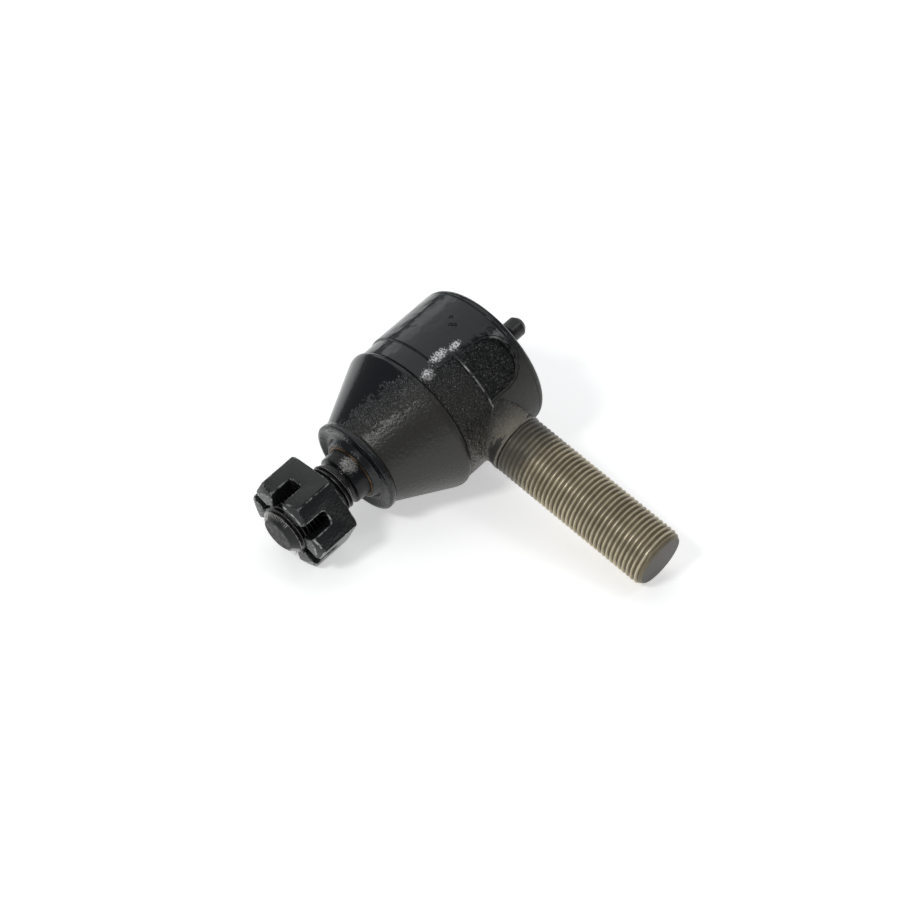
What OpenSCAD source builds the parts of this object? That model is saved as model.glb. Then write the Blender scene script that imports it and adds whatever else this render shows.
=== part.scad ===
// Outer tie rod end: a ball stud held in a forged head, with a threaded shank at right angles to it.
// Every part is drawn on the stud's axis: the ball's centre at 0,0,0, the stud down -Z,
// the cover and grease fitting up +Z and the shank along +X. lie_down() then lays the
// assembled part on its side, as it rests on a table on its boot, its nut and its shank.

/* [Head] */
// Diameter of the turned head
head_d = 49.6; // [49:0.1:50.4]
// Height of the head's back rim above the ball's centre
rim_z = 16.9; // [16.8:0.1:17.4]
// Diameter of the bore that holds the bearing, the pressure seat and the spring
bore_d = 40; // [39.8:0.1:40.2]

/* [Shank] */
// Major diameter of the shank thread, 3/4-16 UNF
shank_d = 19.05; // [18.6:0.05:19.5]
// Distance from the ball's centre to the end of the shank
shank_end = 85.8; // [80:0.1:95]
// Distance from the ball's centre to the first full thread
thread_start = 29; // [28.5:0.1:32]
// Diameter of the plain neck between head and thread
neck_d = 20.4; // [20:0.1:21]

/* [Ball stud] */
// Diameter of the ball
ball_d = 28.6; // [28.2:0.1:28.8]
// Diameter of the neck below the ball
stud_neck_d = 15.8; // [14:0.1:16]
// Diameter of the taper's small end, where the thread begins
taper_small_d = 16.2; // [16:0.1:16.6]
// Major diameter of the stud thread, 5/8-18 UNF
stud_thread_d = 15.88; // [15.6:0.02:15.9]
// Distance from the ball's centre to the tip of the stud
stud_tip = 71.8; // [70:0.1:76]

/* [Castle nut] */
// Width of the nut across its flats
nut_af = 27.6; // [26:0.1:29]
// Height of the nut
nut_h = 14.8; // [14:0.1:15.5]
// Distance from the ball's centre to the nut's clamping face
nut_z = 53.8; // [53:0.1:55]
// Width of each of the six slots
slot_w = 4.9; // [4.4:0.1:5.4]
// Depth of the slots
slot_depth = 8.2; // [7.8:0.1:8.6]

/* [Dust boot] */
// Diameter of the boot's base
boot_d = 50.2; // [49.8:0.1:51]
// Diameter of the flange round the boot's lip
boot_lip_d = 31.4; // [30.6:0.1:32.2]

/* [Rest] */
// Lean about the shank that brings boot, nut and shank onto one flat surface
lean_x = 13; // [0:0.1:20]
// Dip of the shank's end towards the same surface
lean_y = 13; // [0:0.1:20]

/* [Hidden] */
$fn = 96;

head_r = head_d / 2;
bore_r = bore_d / 2;
ball_r = ball_d / 2;
shank_r = shank_d / 2;
stud_thread_r = stud_thread_d / 2;
fit_gap = 0.06;              // radial clearance of every running fit
ball_gap = 0.08;             // clearance round the ball
ball_flat = 3;               // how much is cut off the top of the ball

head_front_z = -8.5;         // where the turned cylinder ends, boot side
skirt_r = 24.3;              // head between the turned cylinder and the boot
skirt_z = -15.2;
snout_r = 20.2;              // groove that the boot's base sits in
snout_flange_r = 20.9;
snout_flange_z = -18.4;
snout_z = -19.6;
shoulder_z = -12.8;          // floor of the bore
mouth_r = 14.2;              // stud opening at the bore's floor
mouth_end_r = 17.6;          // and at the snout's end
cover_r = 21.1;
cover_z = 12.5;              // underside of the cover plate
cover_t = 3.1;
rim_lip_r = 19.4;            // inner edge of the rim that is rolled over the cover

pocket_angle = -58;          // the D-shaped pocket, seen from the boot's side of the shank
pocket_r = 8.9;              // of its arched end
pocket_z = 5.3;              // where the arch springs from
pocket_floor = 22.6;         // floor's distance from the stud axis
pocket_low_z = -1.9;         // the D's straight side

fitting_thread_r = 3.1;
fitting_tip = 32.5;
fitting_head_r = 3.35;
check_ball_r = 1.25;

taper_small_z = 46;
taper_per_mm = 1 / 16;       // on radius, 1.5 inch per foot on diameter
shoulder_taper_z = 25.6;
taper_big_r = taper_small_d / 2 + (taper_small_z - shoulder_taper_z) * taper_per_mm;

nut_front = nut_z + nut_h;
nut_corner_r = nut_af / sqrt(3);
nut_face_r = nut_af / 2 - 0.9;
nut_turn = -73.2;            // angle of one of the nut's corners round the stud
slot_turn = nut_turn + 30;
cotter_hole_d = 4;
cotter_z = nut_front - slot_depth / 2;
cotter_turn = slot_turn + 60;

base_ring_r = 22.7;          // steel ring moulded into the boot's base
base_ring_wire = 1.6;
base_ring_z = -16.9;
lip_ring_z = -41.6;
lip_ring_h = 3;

function taper_r(z) = taper_small_d / 2 + (taper_small_z + z) * taper_per_mm;

// Lays the upright assembly on its side, the way it comes to rest.
module lie_down() { rotate([lean_x - 90, lean_y, 0]) children(); }

// A bar along +X between two distances from the stud axis.
module bar_x(r, from, to, r_end = -1) {
    translate([from, 0, 0]) rotate([0, 90, 0])
        cylinder(r1 = r, r2 = r_end < 0 ? r : r_end, h = to - from);
}

// The turned outside of the head, from the boot's groove to the rolled rim.
module head_blank() {
    rotate_extrude() polygon([
        [0, snout_z], [snout_flange_r, snout_z], [snout_flange_r, snout_flange_z],
        [snout_r, snout_flange_z], [snout_r, skirt_z], [skirt_r, skirt_z],
        [skirt_r, head_front_z - 0.3], [head_r, head_front_z], [head_r, rim_z - 2.1],
        [head_r - 0.5, rim_z - 0.7], [head_r - 1.5, rim_z], [0, rim_z]]);
}

// What is bored out of the head: stud opening, bearing bore, cover recess and rolled rim.
module head_cavity() {
    rotate_extrude() polygon([
        [0, snout_z - 1], [mouth_end_r + 0.5, snout_z - 1], [mouth_end_r, snout_z],
        [mouth_r, shoulder_z], [bore_r, shoulder_z], [bore_r, cover_z - 0.1],
        [cover_r + 0.1, cover_z - 0.1], [cover_r + 0.1, cover_z + cover_t + 0.05],
        [rim_lip_r, cover_z + cover_t + 0.05], [rim_lip_r, rim_z + 1], [0, rim_z + 1]]);
}

// The shoulder of the forging that runs out into the neck.
module neck_web() {
    linear_extrude(height = 17, center = true)
        polygon([[8, -17.6], [18.4, -15.4], [27.4, -9.9], [27.4, 9.9], [18.4, 15.4], [8, 17.6]]);
}

// Flat-floored pocket, an arch on one straight side.
module d_pocket() {
    rotate([0, 0, pocket_angle]) {
        difference() {
            translate([pocket_floor, 0, pocket_z]) rotate([0, 90, 0]) cylinder(r = pocket_r, h = 5);
            translate([pocket_floor - 1, -pocket_r - 1, pocket_z - 12])
                cube([8, 2 * pocket_r + 2, 12]);
        }
        translate([pocket_floor, -pocket_r, pocket_low_z])
            cube([5, 2 * pocket_r, pocket_z - pocket_low_z]);
    }
}

module housing() {
    color("#1d1f21") lie_down() difference() {
        union() {
            head_blank();
            neck_web();
            bar_x(neck_d / 2, 12, thread_start - 1.2);
            bar_x(neck_d / 2, thread_start - 1.2, thread_start, shank_r);
            bar_x(shank_r, thread_start, shank_end - 1.8);
            bar_x(shank_r, shank_end - 1.8, shank_end, shank_r - 1.3);
        }
        head_cavity();
        d_pocket();
    }
}

// Fixed lower half of the ball's bearing.
module front_bearing() {
    color("ivory") lie_down() difference() {
        translate([0, 0, shoulder_z]) cylinder(r = bore_r, h = -shoulder_z - 0.4);
        sphere(r = ball_r + ball_gap);
        translate([0, 0, shoulder_z - 0.1])
            cylinder(r1 = mouth_r + 0.1, r2 = 11.95, h = -shoulder_z - 7.9);
    }
}

// Sprung upper half, free to turn in the bore.
module pressure_seat() {
    color("ivory") lie_down() difference() {
        translate([0, 0, 0.4]) cylinder(r = bore_r - fit_gap, h = 9.2);
        sphere(r = ball_r + ball_gap);
    }
}

// Disc spring that presses the seat onto the ball.
module preload_spring() {
    color("dimgray") lie_down() rotate_extrude()
        polygon([[12.2, 9.65], [12.2, 10.75], [19, 12.45], [19, 11.35]]);
}

module cover_plate() {
    color("#26282a") lie_down() rotate_extrude() polygon([
        [fitting_thread_r, cover_z + 1.2], [10.6, cover_z + 1.2], [12.4, cover_z],
        [cover_r, cover_z], [cover_r, cover_z + cover_t], [14.4, cover_z + cover_t],
        [12.6, cover_z + cover_t + 1.2], [fitting_thread_r, cover_z + cover_t + 1.2]]);
}

module grease_fitting() {
    hex_z = cover_z + cover_t + 1.2;
    color("#2b2b2b") lie_down() difference() {
        union() {
            rotate_extrude() polygon([
                [0, hex_z - 3], [fitting_thread_r - 0.3, hex_z - 3], [fitting_thread_r, hex_z - 2.7],
                [fitting_thread_r, hex_z + 1], [fitting_head_r, hex_z + 4.6],
                [fitting_head_r, hex_z + 6.6], [2.55, hex_z + 7.6], [2.55, hex_z + 9],
                [fitting_head_r, hex_z + 10], [fitting_head_r, fitting_tip - 1.5],
                [2.1, fitting_tip], [0, fitting_tip]]);
            translate([0, 0, hex_z]) cylinder(d = 8 / cos(30), h = 4.6, $fn = 6);
        }
        cylinder(r = 0.9, h = 60, center = true);
        translate([0, 0, hex_z + 8]) cylinder(r = 1.6, h = fitting_tip - 0.9 - hex_z - 8);
    }
}

// Check ball behind the fitting's mouth.
module fitting_ball() {
    color("silver") lie_down()
        translate([0, 0, fitting_tip - 0.9 - check_ball_r]) sphere(r = check_ball_r);
}

// Light spring behind the check ball, drawn as its outer tube.
module fitting_spring() {
    top = fitting_tip - 1 - 2 * check_ball_r;
    color("silver") lie_down() translate([0, 0, top - 3]) difference() {
        cylinder(r = 1.45, h = 3);
        translate([0, 0, -1]) cylinder(r = 1.05, h = 5);
    }
}

module ball_stud() {
    color("#3a3c3e") lie_down() difference() {
        union() {
            difference() {
                sphere(r = ball_r);
                translate([0, 0, ball_r - ball_flat]) cylinder(r = ball_r, h = 5);
            }
            rotate_extrude() polygon([
                [0, 0], [stud_neck_d / 2, 0], [stud_neck_d / 2, -18], [8.4, -22],
                [taper_big_r, -shoulder_taper_z], [taper_small_d / 2, -taper_small_z],
                [7, -taper_small_z - 0.5], [7, -taper_small_z - 1.5],
                [stud_thread_r, -taper_small_z - 2.4], [stud_thread_r, -stud_tip + 2.2],
                [5.25, -stud_tip], [0, -stud_tip]]);
        }
        translate([0, 0, -cotter_z]) rotate([0, 90, cotter_turn])
            cylinder(d = cotter_hole_d, h = 30, center = true);
    }
}

// Thick conical boot: a base in the head's groove and a flanged lip round the stud.
module dust_boot() {
    color("#3d3f3f") lie_down() difference() {
        rotate_extrude() polygon([
            [snout_r + fit_gap, skirt_z - 0.1], [23.6, skirt_z - 0.1], [24.7, skirt_z - 0.5],
            [boot_d / 2, skirt_z - 1.5], [boot_d / 2 - 0.3, skirt_z - 2.4], [14.9, -37.6],
            [boot_lip_d / 2, -38.5], [boot_lip_d / 2, -39.7], [14.6, -40.1], [12.4, -38.9],
            [11, -39.2], [9.7, -41.3], [9.25, -41.3], [9.25, -37.4], [12.1, -37.4],
            [20.2, -20.5], [snout_flange_r + 0.1, snout_z - 0.15],
            [snout_flange_r + 0.1, snout_flange_z + 0.1], [snout_r + fit_gap, snout_flange_z + 0.1]]);
        rotate_extrude() translate([base_ring_r, base_ring_z]) circle(d = base_ring_wire);
    }
}

// Steel ring moulded into the boot's base.
module boot_base_ring() {
    color("gray") lie_down()
        rotate_extrude() translate([base_ring_r, base_ring_z]) circle(d = base_ring_wire);
}

// Thin plated ring in the boot's lip, which grips the taper.
module boot_lip_ring() {
    color("#a8813f") lie_down() rotate_extrude() polygon([
        [taper_r(lip_ring_z) + fit_gap, lip_ring_z],
        [9.05, lip_ring_z], [9.15, lip_ring_z + 0.3], [9.15, lip_ring_z + lip_ring_h],
        [taper_r(lip_ring_z + lip_ring_h) + fit_gap, lip_ring_z + lip_ring_h]]);
}

// Slotted hex nut, chamfered at both ends, with its slots towards the stud's tip.
module castle_nut() {
    chamfer_slope = tan(28);
    front_drop = (nut_corner_r - nut_face_r) * chamfer_slope;
    color("#303234") lie_down() difference() {
        intersection() {
            rotate([0, 0, nut_turn]) translate([0, 0, -nut_front])
                cylinder(r = nut_corner_r, h = nut_h, $fn = 6);
            rotate_extrude() polygon([
                [0, -nut_front], [nut_face_r, -nut_front],
                [nut_corner_r + 0.5, -nut_front + front_drop + 0.5 * chamfer_slope],
                [nut_corner_r + 0.5, -nut_z - 0.9], [nut_corner_r - 1.6, -nut_z], [0, -nut_z]]);
        }
        translate([0, 0, -nut_front - 1]) cylinder(r = stud_thread_r + fit_gap, h = nut_h + 2);
        translate([0, 0, -nut_front - 0.01])
            cylinder(r1 = stud_thread_r + 1.1, r2 = stud_thread_r, h = 1.1);
        for (k = [0 : 2]) rotate([0, 0, slot_turn + 60 * k]) {
            translate([-20, -slot_w / 2, -nut_front - 1])
                cube([40, slot_w, 1 + slot_depth - slot_w / 2]);
            translate([0, 0, -nut_front + slot_depth - slot_w / 2]) rotate([0, 90, 0])
                cylinder(d = slot_w, h = 40, center = true);
        }
    }
}

housing();
front_bearing();
pressure_seat();
preload_spring();
cover_plate();
grease_fitting();
fitting_ball();
fitting_spring();
ball_stud();
dust_boot();
boot_base_ring();
boot_lip_ring();
castle_nut();
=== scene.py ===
from math import atan2, cos, hypot, pi, radians, sin, sqrt, tan

import bpy
from mathutils import Matrix, Quaternion, Vector


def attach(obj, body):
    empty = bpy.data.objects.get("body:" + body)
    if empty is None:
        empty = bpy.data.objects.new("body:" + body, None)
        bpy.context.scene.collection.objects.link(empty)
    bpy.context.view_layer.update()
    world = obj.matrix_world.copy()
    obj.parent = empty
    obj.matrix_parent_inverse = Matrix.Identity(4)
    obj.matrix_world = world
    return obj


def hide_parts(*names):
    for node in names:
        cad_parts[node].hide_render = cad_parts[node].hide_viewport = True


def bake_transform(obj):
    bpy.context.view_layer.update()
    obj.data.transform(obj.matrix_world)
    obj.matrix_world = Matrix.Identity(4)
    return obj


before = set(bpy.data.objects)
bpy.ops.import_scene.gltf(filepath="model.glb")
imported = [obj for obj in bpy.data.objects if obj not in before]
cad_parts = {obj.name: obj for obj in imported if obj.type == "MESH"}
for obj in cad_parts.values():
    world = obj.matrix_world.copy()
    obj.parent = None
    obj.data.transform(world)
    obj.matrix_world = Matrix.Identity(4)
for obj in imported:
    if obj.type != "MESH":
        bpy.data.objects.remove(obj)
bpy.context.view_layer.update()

# ---------------------------------------------------------------------------------------------
# Bench sizes, in millimetres, on the stud's axis: ball centre at 0,0,0, stud down -Z,
# cover and grease fitting up +Z, shank along +X. lay_down() puts a finished piece in the frame.
# ---------------------------------------------------------------------------------------------
LEAN = 13                      # degrees that the part leans when it lies on its side, both ways
REST_TURN = Matrix.Rotation(radians(LEAN), 4, "Y") @ Matrix.Rotation(radians(LEAN - 90), 4, "X")
MM = 0.001

HEAD_R = 24.8
HEAD_FRONT_Z = -8.5
SKIRT_R = 24.3
SKIRT_LOW_Z = -15.2
SPIGOT_R = 20.9                # the ring on the head that the boot snaps over
SPIGOT_Z = -19.6
RIM_Z = 16.9
BORE_R = 20.0
SHOULDER_Z = -12.8
MOUTH_R = 14.2
COVER_R = 21.1
COVER_Z = 12.5
COVER_T = 3.1
FORGED_R = 24.5                # raw forging, a little below the turned head
FORGED_TOP_Z = -1.9
FORGED_LOW_Z = -15.0
RIDGE_WIDTH = 0.55             # burr left standing between the raw forging and the pocket
FORGED_REACH = 80.5            # degrees from the shank to the end of the raw forging
FORGED_SINK = 0.35             # how far the recess is cut below the forging's surface
NECK_R = 10.2
SHANK_R = 9.525
SHANK_PITCH = 25.4 / 16
THREAD_START = 29.0
SHANK_END = 85.8
POCKET_TURN = -58
POCKET_Z = 5.3
POCKET_R = 8.9
POCKET_LEDGE = 0.85
POCKET_FLOOR = 22.6

BALL_R = 14.3
BALL_FLAT = 3.0
STUD_R = 7.94
STUD_PITCH = 25.4 / 18
STUD_THREAD_Z = -48.4
STUD_TIP = -71.8
STUD_NECK_R = 7.9
TAPER_SMALL_R = 8.1
TAPER_SMALL_Z = -46
TAPER_TOP_Z = -25.6
TAPER_PER_MM = 1 / 16
NUT_AF = 27.6
NUT_H = 14.8
NUT_FRONT_Z = -68.6
NUT_TURN = -73.2
SLOT_W = 4.9
SLOT_DEPTH = 8.2
SLOT_CORNER_R = 1.25
COTTER_R = 2.0
BOOT_R = 25.1
BOOT_TOP_Z = -15.3
BOOT_LIP_Z = -37.6
BOOT_LIP_R = 15.7
FITTING_Z = COVER_Z + COVER_T + 1.2
FITTING_TIP = 32.5


# ---------------------------------------------------------------------------------------------
# Bench tools
# ---------------------------------------------------------------------------------------------
def take(piece):
    """Selects one piece only and makes it the active one."""
    bpy.ops.object.select_all(action="DESELECT")
    piece.select_set(True)
    bpy.context.view_layer.objects.active = piece
    return piece


def primitive(kind, **values):
    """A new primitive, with its place and turn in its mesh."""
    bpy.ops.object.select_all(action="DESELECT")
    getattr(bpy.ops.mesh, f"primitive_{kind}_add")(**values)
    return settle(bpy.context.object)


def settle(piece):
    """Moves an object's place, turn and scale into its mesh."""
    take(piece)
    bpy.ops.object.transform_apply(location=True, rotation=True, scale=True)
    return piece


def edit(piece, select="SELECT"):
    """Opens one piece in edit mode with all of it selected, or nothing."""
    take(piece)
    bpy.ops.object.mode_set(mode="EDIT")
    bpy.ops.mesh.select_all(action=select)


def apply_all(piece):
    take(piece)
    for modifier in list(piece.modifiers):
        bpy.ops.object.modifier_apply(modifier=modifier.name)
    return piece


def face_outward(piece):
    edit(piece)
    bpy.ops.mesh.remove_doubles(threshold=0.001)
    bpy.ops.mesh.normals_make_consistent(inside=False)
    bpy.ops.object.mode_set(mode="OBJECT")
    return piece


def softened(outline, longest=None):
    """Outline points (radius, height, corner radius) with their corners rounded."""
    flat = []
    for i, corner in enumerate(outline):
        here = Vector(corner[:2])
        size = corner[2] if len(corner) > 2 else 0
        if not size or i in (0, len(outline) - 1):
            flat.append(here)
            continue
        back = Vector(outline[i - 1][:2]) - here
        on = Vector(outline[i + 1][:2]) - here
        reach = min(size, 0.48 * back.length, 0.48 * on.length)
        start = here + back.normalized() * reach
        end = here + on.normalized() * reach
        steps = 5
        for k in range(steps + 1):
            t = k / steps
            flat.append(start * (1 - t) ** 2 + here * 2 * t * (1 - t) + end * t * t)
    if not longest:
        return flat
    fine = [flat[0]]
    for a, b in zip(flat, flat[1:]):
        pieces = max(1, round((b - a).length / longest))
        fine += [a.lerp(b, (k + 1) / pieces) for k in range(pieces)]
    return fine


def draw(name, points):
    """A wire in the XZ plane, drawn by extruding one corner from point to point."""
    piece = primitive("plane", size=1)
    piece.name = name
    edit(piece)
    bpy.ops.mesh.merge(type="CENTER")
    here = Vector((0, 0))
    for i, point in enumerate(points):
        step = Vector((point[0] - here[0], 0, point[1] - here[1]))
        if i == 0:
            bpy.ops.transform.translate(value=step)
        else:
            bpy.ops.mesh.extrude_region_move(TRANSFORM_OT_translate={"value": step})
        here = point
    bpy.ops.object.mode_set(mode="OBJECT")
    return piece


def turn(name, outline, steps=144, longest=None):
    """A closed piece turned on the lathe: outline runs from the axis or round to its start."""
    piece = draw(name, softened(outline, longest))
    edit(piece)
    bpy.ops.mesh.spin(steps=steps, angle=2 * pi, center=(0, 0, 0), axis=(0, 0, 1))
    bpy.ops.object.mode_set(mode="OBJECT")
    return face_outward(piece)


def close_ends(piece):
    """Applies a screw modifier, then merges the seams and closes both open ends."""
    edit(apply_all(piece))
    bpy.ops.mesh.remove_doubles(threshold=0.001)
    bpy.ops.mesh.fill_holes(sides=0)
    bpy.ops.object.mode_set(mode="OBJECT")


def threaded_bar(name, radius, pitch, low, high, steps=72):
    """A right-hand 60 degree thread along Z, cut off flat at both heights."""
    root = radius - 0.5413 * pitch
    crest = 0.045 * pitch
    outline = [(root, 0), (root, 0.12 * pitch), (radius - crest, 0.415 * pitch),
               (radius, 0.455 * pitch), (radius, 0.545 * pitch), (radius - crest, 0.585 * pitch),
               (root, 0.88 * pitch), (root, pitch)]
    first = low - 2 * pitch
    piece = draw(name, [Vector((r, first + z)) for r, z in outline])
    screw = piece.modifiers.new("thread", "SCREW")
    screw.screw_offset = pitch
    screw.iterations = int((high - low) / pitch) + 5
    screw.steps = screw.render_steps = steps
    screw.use_normal_calculate = False
    close_ends(piece)
    bpy.ops.object.mode_set(mode="EDIT")
    for height, upper in ((low, False), (high, True)):
        bpy.ops.mesh.select_all(action="SELECT")
        bpy.ops.mesh.bisect(plane_co=(0, 0, height), plane_no=(0, 0, 1), use_fill=True,
                            clear_outer=upper, clear_inner=not upper, threshold=0.0001)
    bpy.ops.object.mode_set(mode="OBJECT")
    return face_outward(piece)


def combine(piece, tool, how):
    """Joins, cuts or trims piece with tool, and uses the tool up."""
    boolean = piece.modifiers.new(how.lower(), "BOOLEAN")
    boolean.operation = how
    boolean.object = tool
    boolean.solver = "MANIFOLD"
    before = len(piece.data.polygons)
    apply_all(piece)
    if len(piece.data.polygons) in (0, before):
        print("CHECK", piece.name, how, tool.name, "left the mesh at", before)
    bpy.data.objects.remove(tool)
    return piece


def point_along_x(piece):
    piece.rotation_euler = (0, radians(90), 0)
    return settle(piece)


def finish_in(piece, *materials):
    """One finish all over, the first, whatever slots the cutting tools left behind."""
    piece.data.materials.clear()
    for material in materials:
        piece.data.materials.append(material)
    for face in piece.data.polygons:
        face.material_index = 0


def soften_edges(piece, width, angle, segments, finishes):
    """Rounds the sharp edges. The last finish is for the rounded edges, the first for the rest."""
    finish_in(piece, *finishes)
    edit(piece)
    bpy.ops.mesh.remove_doubles(threshold=0.03)
    bpy.ops.mesh.dissolve_limited(angle_limit=radians(1))
    bpy.ops.object.mode_set(mode="OBJECT")
    bevel = piece.modifiers.new("soft edges", "BEVEL")
    bevel.use_clamp_overlap = False
    bevel.material = len(finishes) - 1
    bevel.width = width
    bevel.segments = segments
    bevel.limit_method = "ANGLE"
    bevel.angle_limit = radians(angle)
    return apply_all(piece)


def lay_down(piece, angle=32):
    """Brings a finished bench piece into the shared frame, in metres, with its place in its mesh."""
    take(piece)
    bpy.ops.object.shade_smooth_by_angle(angle=radians(angle))
    piece.matrix_world = REST_TURN @ Matrix.Scale(MM, 4)
    return settle(piece)


def paint_faces(piece, materials, choose):
    """Gives every face the material that choose(centre, normal) returns."""
    finish_in(piece, *materials)
    names = [material.name for material in materials]
    for face in piece.data.polygons:
        face.material_index = names.index(choose(face.center, face.normal).name)


# ---------------------------------------------------------------------------------------------
# Shader groups
# ---------------------------------------------------------------------------------------------
def new_group(name, inputs, outputs):
    group = bpy.data.node_groups.new(name, "ShaderNodeTree")
    for direction, sockets in (("INPUT", inputs), ("OUTPUT", outputs)):
        for socket_name, kind, value in sockets:
            socket = group.interface.new_socket(socket_name, in_out=direction, socket_type=kind)
            if value is not None:
                socket.default_value = value
    return group, group.nodes.new("NodeGroupInput"), group.nodes.new("NodeGroupOutput")


def add(tree, kind, label=None, **values):
    """A node with its properties and, by name or number, its input values set."""
    node = tree.nodes.new(kind)
    if label:
        node.label = label
    for key, value in values.items():
        if hasattr(node, key):
            setattr(node, key, value)
        else:
            node.inputs[key.replace("_", " ")].default_value = value
    return node


def math_node(tree, operation, a, b=None, c=None, clamp=False):
    node = add(tree, "ShaderNodeMath", operation=operation, use_clamp=clamp)
    for i, value in enumerate((a, b, c)):
        if value is None:
            continue
        if isinstance(value, (int, float)):
            node.inputs[i].default_value = value
        else:
            tree.links.new(value, node.inputs[i])
    return node.outputs[0]


def ramp(tree, value, low, high, to_low=0.0, to_high=1.0, smooth=True):
    node = add(tree, "ShaderNodeMapRange",
               interpolation_type="SMOOTHSTEP" if smooth else "LINEAR")
    for name, number in (("From Min", low), ("From Max", high),
                         ("To Min", to_low), ("To Max", to_high)):
        node.inputs[name].default_value = number
    tree.links.new(value, node.inputs["Value"])
    return node.outputs["Result"]


def noise(tree, point, scale, detail=2.0, roughness=0.5):
    node = add(tree, "ShaderNodeTexNoise", Scale=scale, Detail=detail, Roughness=roughness)
    tree.links.new(point, node.inputs["Vector"])
    return node.outputs["Fac"]


def distance_to(tree, point, spot):
    node = add(tree, "ShaderNodeVectorMath", operation="DISTANCE")
    node.inputs[1].default_value = spot
    tree.links.new(point, node.inputs[0])
    return node.outputs["Value"]


def stretched(tree, point, factors):
    """A point with its axes scaled one by one."""
    node = add(tree, "ShaderNodeVectorMath", operation="MULTIPLY")
    node.inputs[1].default_value = factors
    tree.links.new(point, node.inputs[0])
    return node.outputs[0]


def make_bench_point():
    """Turns object coordinates back upright and into millimetres, with distances from both axes."""
    group, _, out = new_group("Bench point", [], [
        ("Point", "NodeSocketVector", None), ("Along stud", "NodeSocketFloat", None),
        ("Along shank", "NodeSocketFloat", None), ("From shank axis", "NodeSocketFloat", None),
        ("From stud axis", "NodeSocketFloat", None)])
    place = add(group, "ShaderNodeTexCoord")
    upright = add(group, "ShaderNodeMapping", vector_type="TEXTURE")
    upright.inputs["Rotation"].default_value = (radians(LEAN - 90), radians(LEAN), 0)
    upright.inputs["Scale"].default_value = (MM, MM, MM)
    group.links.new(place.outputs["Object"], upright.inputs["Vector"])
    split = add(group, "ShaderNodeSeparateXYZ")
    group.links.new(upright.outputs["Vector"], split.inputs[0])
    group.links.new(upright.outputs["Vector"], out.inputs["Point"])
    group.links.new(split.outputs["Z"], out.inputs["Along stud"])
    group.links.new(split.outputs["X"], out.inputs["Along shank"])
    for name, one, two in (("From shank axis", "Y", "Z"), ("From stud axis", "X", "Y")):
        squares = [math_node(group, "POWER", split.outputs[axis], 2.0) for axis in (one, two)]
        total = math_node(group, "ADD", squares[0], squares[1])
        group.links.new(math_node(group, "SQRT", total), out.inputs[name])
    return group


def make_grain():
    """Pitted grain of a forging or of moulded rubber: a height and a mask of glinting specks, which the
    forged paint paints lighter as painted glints.
    """
    group, given, out = new_group("Grain", [
        ("Point", "NodeSocketVector", None), ("Size", "NodeSocketFloat", 1.0)], [
        ("Height", "NodeSocketFloat", None), ("Glint specks", "NodeSocketFloat", None)])
    scaled = add(group, "ShaderNodeVectorMath", operation="SCALE")
    group.links.new(given.outputs["Point"], scaled.inputs[0])
    group.links.new(given.outputs["Size"], scaled.inputs["Scale"])
    point = scaled.outputs[0]
    coarse = noise(group, point, 0.75, 2.0, 0.55)
    fine = noise(group, point, 1.9, 2.0, 0.55)
    pits = add(group, "ShaderNodeTexVoronoi", Scale=1.05, feature="F1")
    group.links.new(point, pits.inputs["Vector"])
    pit_depth = ramp(group, pits.outputs["Distance"], 0.05, 0.55)
    height = math_node(group, "MULTIPLY_ADD", fine, 0.42, math_node(group, "MULTIPLY", pit_depth, 0.22))
    height = math_node(group, "ADD", height, math_node(group, "MULTIPLY", coarse, 0.7))
    group.links.new(height, out.inputs["Height"])
    glint_specks = noise(group, point, 2.1, 1.0, 0.4)
    group.links.new(ramp(group, glint_specks, 0.66, 0.74), out.inputs["Glint specks"])
    return group


def make_spray():
    """Where the black spray lies wet and glossy, and where only its dry dust reached."""
    group, given, out = new_group("Spray reach", [("Point", "NodeSocketVector", None)],
                                  [("Wet", "NodeSocketFloat", None)])
    across = stretched(group, given.outputs["Point"], (1, 1, 0))
    outward = add(group, "ShaderNodeVectorMath", operation="NORMALIZE")
    group.links.new(across, outward.inputs[0])
    facing = add(group, "ShaderNodeVectorMath", operation="DOT_PRODUCT")
    spray_from = radians(SPRAY_TURN)
    facing.inputs[1].default_value = (cos(spray_from), sin(spray_from), 0)
    group.links.new(outward.outputs[0], facing.inputs[0])
    height = add(group, "ShaderNodeSeparateXYZ")
    group.links.new(given.outputs["Point"], height.inputs[0])
    from_above = math_node(group, "MULTIPLY_ADD", height.outputs["Z"], 0.015,
                           facing.outputs["Value"])
    patchy = noise(group, given.outputs["Point"], 0.14, 3.0, 0.6)
    crumbs = noise(group, given.outputs["Point"], 1.1, 2.0, 0.6)
    shifted = math_node(group, "MULTIPLY_ADD", patchy, 0.4, from_above)
    shifted = math_node(group, "MULTIPLY_ADD", crumbs, 0.45, shifted)
    group.links.new(ramp(group, shifted, 0.25, 0.85), out.inputs["Wet"])
    return group


def make_edge_wear():
    """Bright edges where handling has rubbed a finish through."""
    group, given, out = new_group("Edge wear", [
        ("Point", "NodeSocketVector", None), ("Onset", "NodeSocketFloat", 0.53)],
        [("Worn", "NodeSocketFloat", None)])
    shape = add(group, "ShaderNodeNewGeometry")
    over = math_node(group, "SUBTRACT", shape.outputs["Pointiness"], given.outputs["Onset"])
    wear_and_highlight = ramp(group, over, 0.0, 0.05)
    broken = ramp(group, noise(group, given.outputs["Point"], 0.8, 3.0, 0.6), 0.3, 0.5)
    group.links.new(math_node(group, "MULTIPLY", wear_and_highlight, broken), out.inputs["Worn"])
    return group


SPRAY_TURN = -150              # degrees round the stud's axis that the spray came from
BENCH_POINT = make_bench_point()
GRAIN = make_grain()
SPRAY = make_spray()
EDGE_WEAR = make_edge_wear()


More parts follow.
